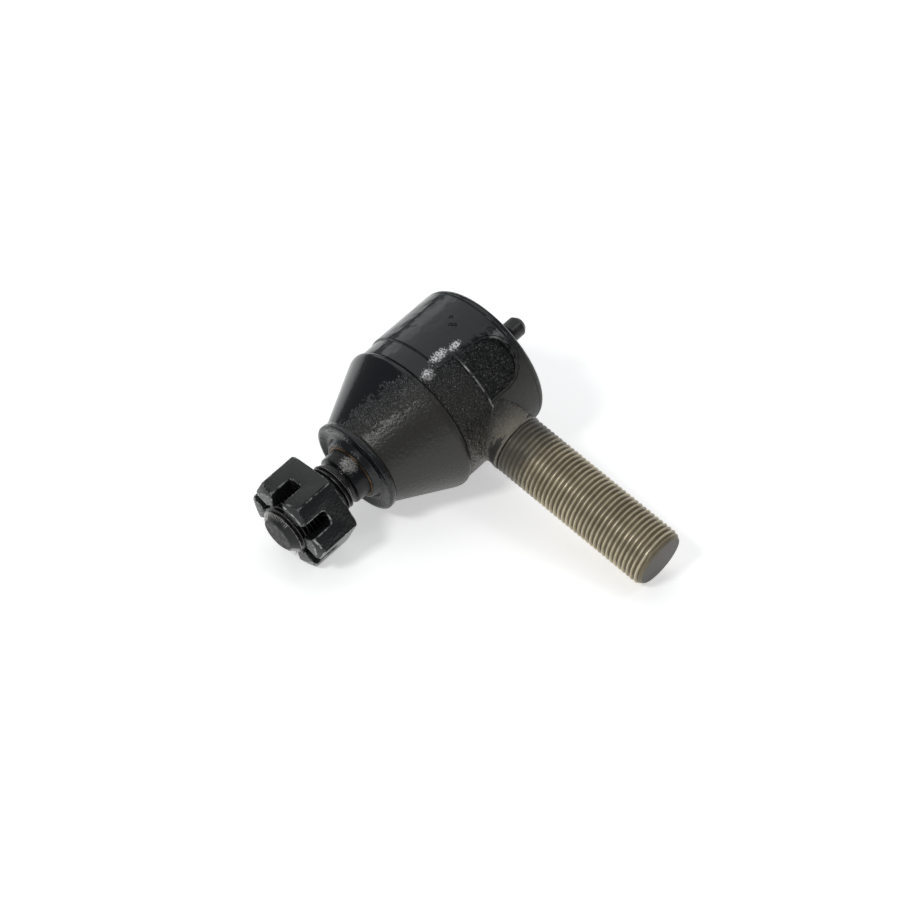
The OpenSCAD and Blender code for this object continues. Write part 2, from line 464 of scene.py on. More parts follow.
# ---------------------------------------------------------------------------------------------
# Materials
# ---------------------------------------------------------------------------------------------
class Finish:
    """A material under construction, with the bench point ready to use."""

    def __init__(self, name, **constants):
        self.material = bpy.data.materials.new(name)
        self.material.use_nodes = True
        self.tree = self.material.node_tree
        self.shader = self.tree.nodes["Principled BSDF"]
        for key, value in constants.items():
            self.shader.inputs[key.replace("_", " ")].default_value = value
        self.bench = self.place(BENCH_POINT)
        self.point = self.bench.outputs["Point"]

    def place(self, group, **values):
        node = add(self.tree, "ShaderNodeGroup", label=group.name, node_tree=group)
        for key, value in values.items():
            node.inputs[key].default_value = value
        if "Point" in node.inputs:
            self.tree.links.new(self.point, node.inputs["Point"])
        return node

    def mix(self, factor, one, two):
        node = add(self.tree, "ShaderNodeMix", data_type="RGBA")
        self.tree.links.new(factor, node.inputs["Factor"])
        for socket, value in ((node.inputs[6], one), (node.inputs[7], two)):
            if isinstance(value, tuple):
                socket.default_value = (*value, 1)
            else:
                self.tree.links.new(value, socket)
        return node.outputs[2]

    def swap(self, factor, one, two):
        """One value where the factor is 0, another where it's 1."""
        node = add(self.tree, "ShaderNodeMix", data_type="FLOAT")
        for socket, value in zip(node.inputs[:1] + node.inputs[2:4], (factor, one, two)):
            self.tree.links.new(value, socket)
        return node.outputs[0]

    def to(self, socket, value):
        self.tree.links.new(value, self.shader.inputs[socket])

    def bump(self, height, distance):
        node = add(self.tree, "ShaderNodeBump", Strength=1.0, Distance=distance * MM)
        self.tree.links.new(height, node.inputs["Height"])
        self.tree.links.new(node.outputs["Normal"], self.shader.inputs["Normal"])


def on_head(degrees, height):
    """A point on the turned head's surface, by its angle round the stud."""
    return (HEAD_R * cos(radians(degrees)), HEAD_R * sin(radians(degrees)), height)


# Spots of scuffs and painted glints on the head: angle, height, reach, squeeze.
SCUFF_AND_GLINT_PATCHES = [(-87.2, -5.6, 3.0, 0.42), (-85.2, 0.3, 2.5, 0.5), (-82.3, -12.3, 4.0, 0.9)]


def make_scuffs_and_glints():
    """Bare scuffs where the turning tool met the raw forging, painted light grey: partly real scuffs,
    partly painted glints of light.
    """
    group, given, out = new_group("Scuffs and painted glints", [("Point", "NodeSocketVector", None)],
                                  [("Scuff and glint", "NodeSocketFloat", None)])
    nearest = None
    for degrees, height, reach, squeeze in SCUFF_AND_GLINT_PATCHES:
        away = add(group, "ShaderNodeVectorMath", operation="SUBTRACT")
        away.inputs[1].default_value = on_head(degrees, height)
        group.links.new(given.outputs["Point"], away.inputs[0])
        length = add(group, "ShaderNodeVectorMath", operation="LENGTH")
        group.links.new(stretched(group, away.outputs[0], (1, 1, squeeze)), length.inputs[0])
        near = ramp(group, length.outputs["Value"], reach, reach * 0.2)
        nearest = near if nearest is None else math_node(group, "MAXIMUM", nearest, near)
    broken = noise(group, given.outputs["Point"], 1.7, 2.0, 0.6)
    shown = math_node(group, "MULTIPLY_ADD", nearest, 0.5, broken)
    group.links.new(ramp(group, shown, 0.80, 1.10), out.inputs["Scuff and glint"])
    return group


SCUFFS_AND_GLINTS = make_scuffs_and_glints()
PAINT_DRIPS = [(on_head(-97, 5.6), 0.9), (on_head(-99.5, 5.0), 0.8), (on_head(-104, 7.2), 0.8)]


def make_turned_paint():
    f = Finish("turned_head_paint", Specular_IOR_Level=0.42)
    wet = f.place(SPRAY).outputs["Wet"]
    bare_and_glint = f.place(SCUFFS_AND_GLINTS).outputs["Scuff and glint"]
    grain = f.place(GRAIN, Size=1.6)
    black = f.mix(wet, (0.030, 0.029, 0.026), (0.0035, 0.005, 0.0065))
    # Painted glints: the scuff patches are painted light grey.
    f.to("Base Color", f.mix(bare_and_glint, black, (0.70, 0.71, 0.72)))
    cloud = noise(f.tree, f.point, 0.35, 3.0)
    gloss = ramp(f.tree, wet, 0, 1, 0.45, 0.10, smooth=False)
    f.to("Roughness", math_node(f.tree, "MULTIPLY_ADD", cloud, 0.12, gloss))
    peel = noise(f.tree, f.point, 0.22, 2.0)
    peel = math_node(f.tree, "MULTIPLY", peel, 2.2)
    dry = math_node(f.tree, "SUBTRACT", 1.0, wet)
    dusty = math_node(f.tree, "MULTIPLY", grain.outputs["Height"],
                      math_node(f.tree, "MULTIPLY", dry, 0.35))
    drips = None
    for spot, size in PAINT_DRIPS:
        drop = ramp(f.tree, distance_to(f.tree, f.point, spot), size, 0.1)
        drips = drop if drips is None else math_node(f.tree, "MAXIMUM", drips, drop)
    lumpy = math_node(f.tree, "MULTIPLY_ADD", drips, 2.6, math_node(f.tree, "MULTIPLY", bare_and_glint, 0.9))
    f.bump(math_node(f.tree, "ADD", math_node(f.tree, "ADD", peel, dusty), lumpy), 0.16)
    return f.material


def make_forged_paint(name, base, dry_base, rough, grain_size, depth):
    """Black paint over raw, pitted forging: each pit and crumb glints on its own, and the specks and
    scuffs carry painted glints as well.
    """
    f = Finish(name, Specular_IOR_Level=0.38)
    wet = f.place(SPRAY).outputs["Wet"]
    bare_and_glint = f.place(SCUFFS_AND_GLINTS).outputs["Scuff and glint"]
    grain = f.place(GRAIN, Size=grain_size)
    near_thread = ramp(f.tree, f.bench.outputs["Along shank"], 20.5, 28.5)
    black = f.mix(wet, dry_base, base)
    dusty = f.mix(near_thread, black, (0.17, 0.155, 0.125))
    # Painted glints: scuff patches and grain specks are painted light grey.
    worn_and_glint = math_node(f.tree, "MAXIMUM", bare_and_glint, math_node(
        f.tree, "MULTIPLY", grain.outputs["Glint specks"], 0.25))
    f.to("Base Color", f.mix(worn_and_glint, dusty, (0.30, 0.30, 0.29)))
    rougher = math_node(f.tree, "MULTIPLY_ADD", wet, -0.12, rough)
    f.to("Roughness", math_node(f.tree, "MULTIPLY_ADD", grain.outputs["Glint specks"], -0.1, rougher))
    f.bump(grain.outputs["Height"], depth)
    return f.material


def make_phosphate():
    """Phosphated thread: dull olive on the flanks, with painted shade darkening the roots and a painted
    highlight brightening the crests.
    """
    f = Finish("thread_phosphate")
    stain = noise(f.tree, f.point, 0.16, 4.0, 0.6)
    speckle = noise(f.tree, f.point, 2.2, 3.0, 0.6)
    olive = f.mix(ramp(f.tree, stain, 0.35, 0.68), (0.39, 0.335, 0.22), (0.58, 0.50, 0.33))
    olive = f.mix(ramp(f.tree, speckle, 0.45, 0.75, 0, 0.45), olive, (0.19, 0.165, 0.11))
    # Painted shade: the thread roots are darkened.
    root = ramp(f.tree, f.bench.outputs["From shank axis"], 9.15, 8.75, 0, 0.75)
    olive = f.mix(root, olive, (0.075, 0.060, 0.038))
    # Painted highlight: the crests are lightened towards bright metal and made smoother.
    crest = ramp(f.tree, f.bench.outputs["From shank axis"], 9.3, 9.5)
    wear_and_highlight = math_node(f.tree, "MULTIPLY", crest, ramp(f.tree, stain, 0.3, 0.55, 0.25, 0.9))
    metal = f.mix(wear_and_highlight, olive, (0.62, 0.56, 0.43))
    sprayed = ramp(f.tree, math_node(f.tree, "MULTIPLY_ADD", stain, 14.0,
                                     f.bench.outputs["Along shank"]), 37.0, 54.0)
    f.to("Base Color", f.mix(sprayed, (0.090, 0.081, 0.064), metal))
    f.to("Metallic", math_node(f.tree, "MULTIPLY", sprayed, 0.4))
    f.to("Roughness", ramp(f.tree, wear_and_highlight, 0, 1, 0.48, 0.27, smooth=False))
    f.bump(speckle, 0.05)
    return f.material


def make_boot_rubber():
    f = Finish("boot_rubber", Specular_IOR_Level=0.42)
    wet = f.place(SPRAY).outputs["Wet"]
    lip = ramp(f.tree, f.bench.outputs["Along stud"], -37.2, -38.4)
    wet = math_node(f.tree, "MAXIMUM", wet, math_node(f.tree, "MULTIPLY", lip, 0.85))
    grain = f.place(GRAIN, Size=1.15)
    f.to("Base Color", f.mix(wet, (0.024, 0.0225, 0.0195), (0.0035, 0.005, 0.0065)))
    rough = ramp(f.tree, wet, 0, 1, 0.33, 0.14, smooth=False)
    f.to("Roughness", math_node(f.tree, "MULTIPLY_ADD", grain.outputs["Glint specks"], -0.22, rough))
    edge = math_node(f.tree, "MULTIPLY", wet, math_node(f.tree, "SUBTRACT", 1.0, wet))
    depth = ramp(f.tree, edge, 0.0, 0.25, 0.35, 1.0)
    depth = math_node(f.tree, "MULTIPLY", depth, ramp(f.tree, wet, 0.5, 1.0, 1.0, 0.25))
    f.bump(math_node(f.tree, "MULTIPLY", grain.outputs["Height"], depth), 0.5)
    return f.material


RUBBED_TAPER = (1.5, -8.6, -43.5)


def make_stud_steel():
    f = Finish("stud_black_oxide", Specular_IOR_Level=0.3)
    clouds = noise(f.tree, f.point, 0.3, 4.0, 0.6)
    scratch = noise(f.tree, f.point, 3.0, 3.0, 0.6)
    worn_and_glint = f.place(EDGE_WEAR, Onset=0.53).outputs["Worn"]
    near = ramp(f.tree, distance_to(f.tree, f.point, RUBBED_TAPER), 5.5, 0.8)
    crumbs = noise(f.tree, f.point, 2.0, 3.0, 0.7)
    bare_and_glint = ramp(f.tree, math_node(f.tree, "MULTIPLY_ADD", near, 0.45, crumbs), 0.72, 1.05)
    bare_and_glint = math_node(f.tree, "MAXIMUM", math_node(f.tree, "MULTIPLY", worn_and_glint, 0.6), bare_and_glint)
    tip = ramp(f.tree, f.bench.outputs["Along stud"], STUD_TIP + 0.2, STUD_TIP + 0.05)
    patches = ramp(f.tree, noise(f.tree, f.point, 0.9, 3.0), 0.45, 0.6, 0.02, 0.16)
    bare_and_glint = f.swap(tip, bare_and_glint, patches)
    f.to("Base Color", f.mix(bare_and_glint, (0.0065, 0.007, 0.0075), (0.42, 0.41, 0.39)))
    f.to("Metallic", ramp(f.tree, bare_and_glint, 0, 1, 0.1, 0.9, smooth=False))
    dull_tip = math_node(f.tree, "MULTIPLY_ADD", tip, 0.35, 0.1)
    f.to("Roughness", math_node(f.tree, "MULTIPLY_ADD", clouds, 0.2, math_node(
        f.tree, "MULTIPLY_ADD", bare_and_glint, 0.1, dull_tip)))
    f.bump(scratch, 0.05)
    return f.material


def make_nut_oxide():
    f = Finish("nut_black_oxide", Metallic=0.1, Specular_IOR_Level=0.45)
    clouds = noise(f.tree, f.point, 0.28, 4.0, 0.6)
    fine = noise(f.tree, f.point, 1.1, 2.0, 0.5)
    f.to("Base Color", f.mix(clouds, (0.004, 0.0045, 0.005), (0.011, 0.0115, 0.012)))
    f.to("Roughness", math_node(f.tree, "MULTIPLY_ADD", clouds, 0.12, 0.20))
    f.bump(fine, 0.15)
    return f.material


def make_rubbed_and_glinting_edge():
    """Corners and edges of blackened pieces, bright in patches: partly rubbed wear, partly painted
    glints of light on the edges.
    """
    f = Finish("rubbed_and_glinting_edge")
    patches = ramp(f.tree, noise(f.tree, f.point, 0.6, 3.0, 0.6), 0.42, 0.68)
    f.to("Base Color", f.mix(patches, (0.012, 0.0125, 0.013), (0.34, 0.34, 0.34)))
    f.to("Metallic", ramp(f.tree, patches, 0, 1, 0.2, 0.9, smooth=False))
    f.to("Roughness", ramp(f.tree, patches, 0, 1, 0.22, 0.36, smooth=False))
    f.bump(noise(f.tree, f.point, 1.4, 2.0), 0.06)
    return f.material


def make_nut_chamfer():
    """Turned chamfers of the nut, where the black finish is thin."""
    f = Finish("nut_turned_chamfer", Metallic=0.5)
    rings = noise(f.tree, f.bench.outputs["From stud axis"], 4.0, 2.0)
    clouds = noise(f.tree, f.point, 0.5, 3.0)
    f.to("Base Color", f.mix(clouds, (0.009, 0.0095, 0.010), (0.030, 0.030, 0.031)))
    f.to("Roughness", ramp(f.tree, clouds, 0.3, 0.7, 0.28, 0.42))
    f.bump(rings, 0.03)
    return f.material


def make_plain_metal(name, colour, dark, roughness, metallic=1.0, grain=1.6, depth=0.03):
    f = Finish(name, Metallic=metallic)
    clouds = noise(f.tree, f.point, grain * 0.25, 4.0, 0.6)
    fine = noise(f.tree, f.point, grain * 2, 3.0, 0.6)
    f.to("Base Color", f.mix(ramp(f.tree, clouds, 0.3, 0.7), dark, colour))
    f.to("Roughness", math_node(f.tree, "MULTIPLY_ADD", clouds, 0.2, roughness - 0.1))
    f.bump(fine, depth)
    return f.material


def make_bearing_plastic():
    f = Finish("bearing_acetal", Specular_IOR_Level=0.45)
    clouds = noise(f.tree, f.point, 0.2, 3.0)
    fine = noise(f.tree, f.point, 3.0, 2.0)
    f.to("Base Color", f.mix(clouds, (0.62, 0.58, 0.48), (0.72, 0.69, 0.60)))
    f.to("Roughness", ramp(f.tree, fine, 0.3, 0.7, 0.36, 0.48))
    f.bump(fine, 0.02)
    return f.material


TURNED_PAINT = make_turned_paint()
FORGED_PAINT = make_forged_paint("forged_paint", (0.004, 0.005, 0.006), (0.013, 0.0123, 0.0108),
                                 0.16, 0.85, 1.2)
# Painted shade: the pocket's paint is darker than the forged paint outside it.
SHADED_POCKET_PAINT = make_forged_paint("pocket_paint_painted_shade", (0.003, 0.0032, 0.0035), (0.0025, 0.0025, 0.0025),
                                 0.14, 0.7, 0.8)
PHOSPHATE = make_phosphate()
# Painted shade: the shank's flat end face is much darker than the thread.
SHADED_SHANK_END = make_plain_metal("shank_end_phosphate_painted_shade", (0.072, 0.064, 0.050), (0.042, 0.037, 0.030),
                              0.5, metallic=0.2, grain=2.0, depth=0.06)
BOOT_RUBBER = make_boot_rubber()
STUD_STEEL = make_stud_steel()
NUT_OXIDE = make_nut_oxide()
NUT_CHAMFER = make_nut_chamfer()
RUBBED_AND_GLINTING_EDGE = make_rubbed_and_glinting_edge()
RING_BRASS = make_plain_metal("lip_ring_brass", (0.17, 0.11, 0.065), (0.035, 0.025, 0.016), 0.42)
BORED_STEEL = make_plain_metal("bored_steel", (0.30, 0.30, 0.30), (0.18, 0.18, 0.18), 0.4)
FITTING_OXIDE = make_plain_metal("fitting_black_oxide", (0.045, 0.045, 0.047),
                                 (0.012, 0.012, 0.013), 0.3, metallic=0.4)
SPRING_STEEL = make_plain_metal("spring_steel", (0.22, 0.22, 0.23), (0.12, 0.12, 0.125), 0.38)
BALL_STEEL = make_plain_metal("check_ball_steel", (0.60, 0.60, 0.60), (0.5, 0.5, 0.5), 0.2)
ACETAL = make_bearing_plastic()


# ---------------------------------------------------------------------------------------------
# Housing: turned head, forged neck and web, threaded shank
# ---------------------------------------------------------------------------------------------
def turned_head():
    """The head's lathe-turned outside, solid, with a crimp line behind the rolled rim."""
    return turn("housing_forging", [
        (0, SPIGOT_Z), (SPIGOT_R, SPIGOT_Z, 0.3), (SPIGOT_R, -18.4, 0.2), (20.2, -18.4),
        (20.2, SKIRT_LOW_Z), (SKIRT_R - 0.05, SKIRT_LOW_Z, 0.35), (SKIRT_R, HEAD_FRONT_Z - 0.35, 0.1),
        (HEAD_R, HEAD_FRONT_Z, 0.35),
        (HEAD_R, 13.9, 0.1), (24.55, 14.25, 0.1), (24.72, 14.6, 0.2), (24.6, 15.6, 0.5),
        (23.6, RIM_Z, 0.8), (20.3, RIM_Z, 0.8), (18.9, 16.2), (0, 16.2)], 256, longest=1.0)


# Distance along the shank, half width, half height.
WEB_STATIONS = [(10, 18.0, 10.0), (18.2, 16.2, 9.6), (20.2, 14.7, 9.1), (22.4, 12.9, 8.8),
                (24.6, 11.3, 8.9), (26.4, 10.3, 9.2), (27.4, NECK_R - 0.3, 9.5),
                (28.2, NECK_R - 0.4, 9.7), (THREAD_START, 9.6, 9.6)]


def raw_web():
    """The forging between head and neck: a long soft shoulder each side of the neck."""
    start, wide, high = WEB_STATIONS[0]
    web = primitive("circle", vertices=96, radius=1, fill_type="NGON",
                    location=(start, 0, 0), rotation=(0, radians(90), 0))
    edit(web)
    bpy.ops.transform.resize(value=(1, wide, high), center_override=(start, 0, 0))
    for (x0, wide0, high0), (x1, wide1, high1) in zip(WEB_STATIONS, WEB_STATIONS[1:]):
        bpy.ops.mesh.extrude_region_move(TRANSFORM_OT_translate={"value": (x1 - x0, 0, 0)})
        bpy.ops.transform.resize(value=(1, wide1 / wide0, high1 / high0),
                                 center_override=(x1, 0, 0))
    bpy.ops.object.mode_set(mode="OBJECT")
    return face_outward(web)


def sector(radius, low, high, reach):
    """A slice of a cylinder, either side of the shank."""
    piece = primitive("cylinder", vertices=192, radius=radius, depth=high - low,
                      location=(0, 0, (low + high) / 2))
    edit(piece)
    for side in (1, -1):
        limit = radians(side * reach)
        bpy.ops.mesh.select_all(action="SELECT")
        bpy.ops.mesh.bisect(plane_co=(0, 0, 0), plane_no=(-side * sin(limit), side * cos(limit), 0),
                            use_fill=True, clear_outer=True, threshold=0.0001)
    bpy.ops.object.mode_set(mode="OBJECT")
    return face_outward(piece)


def unturned_recess():
    """The lathe left the head's band beside the shank unturned: what is taken off there."""
    band = sector(HEAD_R + 2, HEAD_FRONT_Z - 0.7, FORGED_TOP_Z - RIDGE_WIDTH, FORGED_REACH)
    core_r = FORGED_R - FORGED_SINK
    core = turn("recess core", [(0, -20), (core_r, -20), (core_r, 20), (0, 20)], 256, longest=2.0)
    return combine(band, core, "DIFFERENCE")


def paint_bead(turn_deg, low, high, radius, out):
    """A ridge of gathered paint along the head, sunk in its surface."""
    angle = radians(turn_deg)
    reach = HEAD_R + out
    return primitive("uv_sphere", segments=20, ring_count=12, radius=radius,
                     location=(reach * cos(angle), reach * sin(angle), (low + high) / 2),
                     scale=(1, 1, (high - low) / 2 / radius))


def raw_forging():
    """Web, sector and paint ridge, melted together and given the grain of a forging."""
    band = sector(FORGED_R, FORGED_LOW_Z, FORGED_TOP_Z + 0.5, FORGED_REACH + 1.5)
    parts = [raw_web(), band, paint_bead(-FORGED_REACH, -8.6, 1.6, 0.45, -0.3)]
    forging = parts[0]
    bpy.ops.object.select_all(action="DESELECT")
    for part in parts:
        part.select_set(True)
    bpy.context.view_layer.objects.active = forging
    bpy.ops.object.join()
    remesh = forging.modifiers.new("melt together", "REMESH")
    remesh.mode = "VOXEL"
    remesh.voxel_size = 0.42
    apply_all(forging)
    ends = forging.vertex_groups.new(name="forged")
    for vertex in forging.data.vertices:
        clear_of_thread = min(1, max(0, (28.0 - vertex.co.x) / 2.0))
        ends.add([vertex.index], clear_of_thread, "REPLACE")
    relax = forging.modifiers.new("relax", "SMOOTH")
    relax.factor = 0.6
    relax.iterations = 9
    relax.vertex_group = "forged"
    for name, scale, strength in (("hammer marks", 3.2, 0.26), ("scale pits", 0.75, 0.16)):
        texture = bpy.data.textures.new(name, "CLOUDS")
        texture.noise_scale = scale
        texture.noise_depth = 2
        displace = forging.modifiers.new(name, "DISPLACE")
        displace.texture = texture
        displace.strength = strength
        displace.mid_level = 0.55
        displace.vertex_group = "forged"
    apply_all(forging)
    return forging


def head_bore():
    """What is bored out: stud mouth, bearing bore and the seat of the cover plate."""
    seat_r, low, high = COVER_R + 0.1, COVER_Z - 0.1, COVER_Z + COVER_T + 0.05
    return turn("bore", [
        (0, -21), (18.1, -21), (17.6, SPIGOT_Z), (MOUTH_R, SHOULDER_Z), (BORE_R, SHOULDER_Z),
        (BORE_R, low), (seat_r, low), (seat_r, high), (19.5, high),
        (19.4, 16.0, 0.3), (19.9, 19.0), (0, 19.0)], 192)


def arched_cutter(radius, floor, low_z):
    """An arch on one straight side, extruded outward from the pocket's floor."""
    cutter = primitive("circle", vertices=96, radius=radius, fill_type="NGON")
    cutter.matrix_world = (Matrix.Rotation(radians(POCKET_TURN), 4, "Z")
                           @ Matrix.Translation((floor, 0, POCKET_Z))
                           @ Matrix.Rotation(radians(90), 4, "Y"))
    edit(settle(cutter))
    bpy.ops.mesh.bisect(plane_co=(0, 0, POCKET_Z), plane_no=(0, 0, 1), use_fill=False,
                        clear_inner=True, threshold=0.0001)
    bpy.ops.mesh.select_all(action="DESELECT")
    bpy.ops.object.mode_set(mode="OBJECT")
    for edge in cutter.data.edges:
        ends = [cutter.data.vertices[v].co for v in edge.vertices]
        edge.select = all(abs(end.z - POCKET_Z) < 0.01 for end in ends)
    bpy.ops.object.mode_set(mode="EDIT")
    bpy.ops.mesh.extrude_region_move(TRANSFORM_OT_translate={"value": (0, 0, low_z - POCKET_Z)})
    bpy.ops.mesh.select_all(action="SELECT")
    bpy.ops.mesh.dissolve_limited(angle_limit=radians(1))
    bpy.ops.mesh.select_all(action="SELECT")
    outward = Vector((cos(radians(POCKET_TURN)), sin(radians(POCKET_TURN)), 0))
    bpy.ops.mesh.extrude_region_move(TRANSFORM_OT_translate={"value": outward * 5})
    bpy.ops.object.mode_set(mode="OBJECT")
    return face_outward(cutter)


def ledge_cutter():
    """The shallow step round the pocket, which keeps its depth as the head curves away."""
    ledge = arched_cutter(POCKET_R, POCKET_FLOOR, FORGED_TOP_Z)
    core_r = HEAD_R - 0.3
    core = turn("ledge core", [(0, -20), (core_r, -20), (core_r, 20), (0, 20)], 256, longest=2.0)
    return combine(ledge, core, "DIFFERENCE")


def shank():
    """Threaded shank with its end turned down to a chamfer."""
    bar = threaded_bar("shank", SHANK_R, SHANK_PITCH, THREAD_START - 1.5, SHANK_END, 84)
    point_along_x(bar)
    envelope = turn("shank envelope", [
        (0, 20), (12, 20), (12, SHANK_END - 5), (SHANK_R + 0.05, SHANK_END - 2.0, 0.5),
        (8.25, SHANK_END, 0.3), (0, SHANK_END)], 144)
    return combine(bar, point_along_x(envelope), "INTERSECT")


def housing_finish(centre, normal):
    """The finish of one face of the housing."""
    x, y, z = centre
    round_shank = hypot(y, z)
    round_stud = hypot(x, y)
    if x > THREAD_START - 0.25 and round_shank < 9.62:
        # The flat end face takes the painted-shade phosphate.
        return SHADED_SHANK_END if normal.x > 0.9 else PHOSPHATE
    if round_stud < 21.25 and -19.3 < z < 15.7 and normal.dot(Vector((x, y, 0))) < 0.01:
        return BORED_STEEL
    if x > 18 and round_shank < 17 and normal.x > 0.05 and round_stud > HEAD_R + 0.1:
        return FORGED_PAINT
    degrees = abs(atan2(y, x)) * 180 / pi
    in_band = FORGED_LOW_Z - 0.1 < z < FORGED_TOP_Z + 0.1 and degrees < FORGED_REACH + 1
    if in_band and 24.0 < round_stud < HEAD_R - 0.02:
        return FORGED_PAINT
    # Painted glints and wear along the paint ridge at the top of the raw forging.
    on_ridge = FORGED_TOP_Z - RIDGE_WIDTH - 0.05 < z < FORGED_TOP_Z + 0.05 and degrees < 80
    if on_ridge and round_stud > HEAD_R - 0.05 and y < 0:
        return RUBBED_AND_GLINTING_EDGE
    across = Matrix.Rotation(radians(-POCKET_TURN), 3, "Z") @ Vector(centre)
    near_arch = hypot(across.y, max(0, z - POCKET_Z)) < POCKET_R + 0.05 and z > FORGED_TOP_Z
    outward = Vector((cos(radians(POCKET_TURN)), sin(radians(POCKET_TURN)), 0))
    # Painted glints on the pocket's arched wall.
    if near_arch and across.x > POCKET_FLOOR and abs(normal.dot(outward)) < 0.15:
        return RUBBED_AND_GLINTING_EDGE
    inside_arch = hypot(across.y, max(0, z - POCKET_Z)) < POCKET_R - POCKET_LEDGE + 0.05
    if inside_arch and z > FORGED_TOP_Z and POCKET_FLOOR - 0.1 < across.x and round_stud < 24.4:
        return SHADED_POCKET_PAINT
    return TURNED_PAINT


def make_housing():
    head = turned_head()
    combine(head, unturned_recess(), "DIFFERENCE")
    combine(head, raw_forging(), "UNION")
    combine(head, ledge_cutter(), "DIFFERENCE")
    combine(head, arched_cutter(POCKET_R - POCKET_LEDGE, POCKET_FLOOR, FORGED_TOP_Z + 0.35),
            "DIFFERENCE")
    combine(head, head_bore(), "DIFFERENCE")
    combine(head, shank(), "UNION")
    paint_faces(head, [TURNED_PAINT, FORGED_PAINT, SHADED_POCKET_PAINT, PHOSPHATE, SHADED_SHANK_END, BORED_STEEL,
                       RUBBED_AND_GLINTING_EDGE], housing_finish)
    lay_down(head)
    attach(head, "housing")
    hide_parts("housing")
    return head


# ---------------------------------------------------------------------------------------------
# Back of the head: cover plate and grease fitting
# ---------------------------------------------------------------------------------------------
def make_cover_plate():
    top = COVER_Z + COVER_T
    plate = turn("cover_plate_pressing", [
        (3.1, COVER_Z + 1.2), (10.6, COVER_Z + 1.2, 0.8), (12.4, COVER_Z, 0.8),
        (COVER_R, COVER_Z, 0.3), (COVER_R, top, 0.3), (14.4, top, 1.2), (12.6, top + 1.2, 1.2),
        (3.6, top + 1.2, 0.3), (3.1, top + 0.9), (3.1, COVER_Z + 1.2)], 160)
    finish_in(plate, TURNED_PAINT)
    lay_down(plate)
    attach(plate, "housing")
    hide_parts("cover_plate")


def make_grease_fitting():
    z = FITTING_Z
    hex_af, hex_h = 8, 4.6
    body = primitive("cylinder", vertices=6, radius=hex_af / 2 / cos(radians(30)), depth=hex_h,
                     location=(0, 0, z + hex_h / 2))
    body.name = "grease_fitting_body"
    combine(body, turn("hex chamfer", [(0, z - 1), (6, z - 1), (6, z + 3.8), (4.0, z + 4.62),
                                       (0, z + 4.62)], 96), "INTERSECT")
    combine(body, turn("fitting", [
        (0, z - 3), (2.8, z - 3, 0.1), (3.05, z - 2.7), (3.05, z + 1), (3.35, z + hex_h, 0.2),
        (3.35, z + 6.6, 0.3), (2.55, z + 7.6, 0.4), (2.55, z + 9, 0.4), (3.35, z + 10, 0.3),
        (3.35, FITTING_TIP - 1.5, 0.3), (2.1, FITTING_TIP, 0.25), (0, FITTING_TIP)], 96), "UNION")
    combine(body, turn("grease hole", [
        (0, z - 7), (0.9, z - 7), (0.9, z + 8), (1.6, z + 8), (1.6, FITTING_TIP - 1.6),
        (1.15, FITTING_TIP - 0.55), (1.3, FITTING_TIP + 0.3), (0, FITTING_TIP + 0.3)], 64),
        "DIFFERENCE")
    # The rounded edges get rubbed wear with painted glints.
    soften_edges(body, 0.16, 40, 2, [FITTING_OXIDE, RUBBED_AND_GLINTING_EDGE])
    lay_down(body)
    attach(body, "housing")
    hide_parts("grease_fitting")


# ---------------------------------------------------------------------------------------------
# Ball stud and castle nut
# ---------------------------------------------------------------------------------------------
def make_ball_stud():
    flat_z = BALL_R - BALL_FLAT
    flat_r = sqrt(BALL_R ** 2 - flat_z ** 2)
    neck_z = -sqrt(BALL_R ** 2 - STUD_NECK_R ** 2)
    start, end = atan2(flat_z, flat_r), atan2(neck_z, STUD_NECK_R)
    angles = [start + (end - start) * k / 36 for k in range(37)]
    ball = [(BALL_R * cos(angle), BALL_R * sin(angle)) for angle in angles]
    taper_big = TAPER_SMALL_R + (TAPER_TOP_Z - TAPER_SMALL_Z) * TAPER_PER_MM
    stud = turn("ball_stud_forging", [(0, flat_z)] + ball + [
        (STUD_NECK_R, -18, 2.0), (8.4, -22, 1.0), (taper_big, TAPER_TOP_Z, 0.6),
        (TAPER_SMALL_R, TAPER_SMALL_Z, 0.25), (7.0, -46.6, 0.3), (7.0, -47.6, 0.3),
        (7.0, -70.0), (0, -70.0)], 128)
    thread = threaded_bar("stud thread", STUD_R, STUD_PITCH, STUD_TIP, STUD_THREAD_Z + 0.7, 72)
    combine(thread, turn("stud envelope", [
        (0, STUD_TIP), (5.3, STUD_TIP, 0.5), (STUD_R + 0.05, STUD_TIP + 2.3, 0.6), (9.5, -68),
        (9.5, -49.5), (7.2, STUD_THREAD_Z + 0.6), (0, STUD_THREAD_Z + 0.6)], 144), "INTERSECT")
    combine(stud, thread, "UNION")
    cotter_z = NUT_FRONT_Z + SLOT_DEPTH / 2
    hole = primitive("cylinder", vertices=40, radius=COTTER_R, depth=24, location=(0, 0, cotter_z),
                     rotation=(0, radians(90), radians(NUT_TURN + 90)))
    combine(stud, hole, "DIFFERENCE")
    finish_in(stud, STUD_STEEL)
    lay_down(stud)
    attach(stud, "stud")
    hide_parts("ball_stud")


